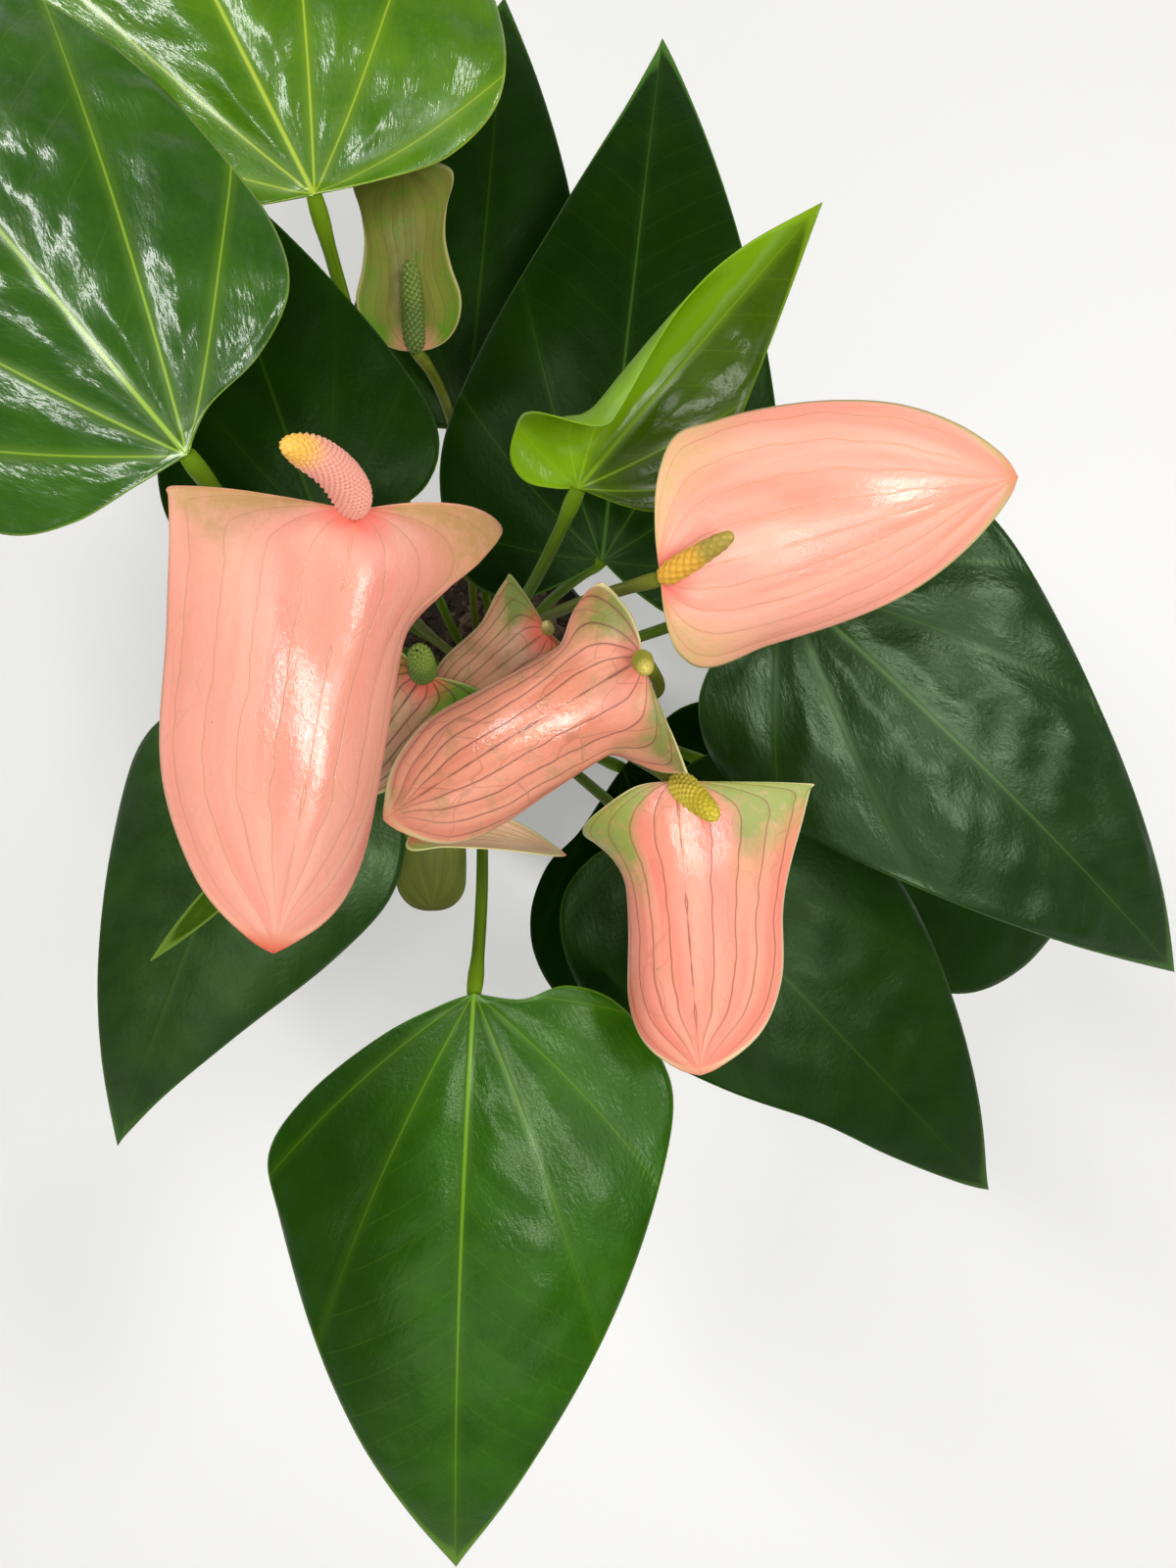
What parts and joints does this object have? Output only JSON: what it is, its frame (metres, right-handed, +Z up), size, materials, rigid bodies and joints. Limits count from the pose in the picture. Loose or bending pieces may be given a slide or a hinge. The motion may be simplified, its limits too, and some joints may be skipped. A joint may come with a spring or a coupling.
{
  "type": "potted anthurium",
  "caption": "Potted flowering anthurium with glossy heart-shaped leaves on long stalks and salmon spathes with yellow spadices, in a plain round nursery pot.",
  "frame": {"origin": "centre of the pot's underside, which stands on the surface", "axes": "+Z up along the pot's axis; -Y towards the front leaf, which points down in the picture; +X to the picture's right"},
  "size_m": [0.4269, 0.6304, 0.52],
  "materials": {
    "pot_plastic": "satin black moulded plastic",
    "bark_and_peat": "coarse bark chips and damp peat, matt",
    "leaf_green": "glossy living leaf, mid to dark green",
    "spathe_salmon": "waxy salmon bract with darker veins, green at its lobes",
    "spadix_yellow": "pebbled florets, orange-yellow to green",
    "stem_green": "smooth olive-green stalk"
  },
  "bodies": {
    "root": {"pot": "pot_plastic", "growing_medium": "bark_and_peat", "leaf_01_front": "leaf_green", "leaf_02_upper_left": "leaf_green", "leaf_03_top": "leaf_green", "leaf_04_back_low": "leaf_green", "leaf_05_left": "leaf_green", "leaf_06_back": "leaf_green", "leaf_07_young": "leaf_green", "leaf_08_right": "leaf_green", "leaf_09_lower_right": "leaf_green", "leaf_10_right_low": "leaf_green", "leaf_11_lower_left": "leaf_green", "leaf_12_front_low": "leaf_green", "leaf_13_furled": "leaf_green", "flower_stem_01": "stem_green", "spathe_01": "spathe_salmon", "spadix_01": "spadix_yellow", "flower_stem_02": "stem_green", "spathe_02": "spathe_salmon", "spadix_02": "spadix_yellow", "flower_stem_03": "stem_green", "spathe_03": "spathe_salmon", "spadix_03": "spadix_yellow", "flower_stem_04": "stem_green", "spathe_04": "spathe_salmon", "spadix_04": "spadix_yellow", "flower_stem_05": "stem_green", "spathe_05": "spathe_salmon", "spadix_05": "spadix_yellow", "flower_stem_06": "stem_green", "spathe_06": "spathe_salmon", "spadix_06": "spadix_yellow", "flower_stem_07": "stem_green", "spathe_07": "spathe_salmon", "spadix_07": "spadix_yellow", "flower_stem_08": "stem_green", "spathe_08": "spathe_salmon", "spadix_08": "spadix_yellow", "flower_stem_09": "stem_green", "spathe_09": "spathe_salmon", "spadix_09": "spadix_yellow"}
  },
  "joints": []
}
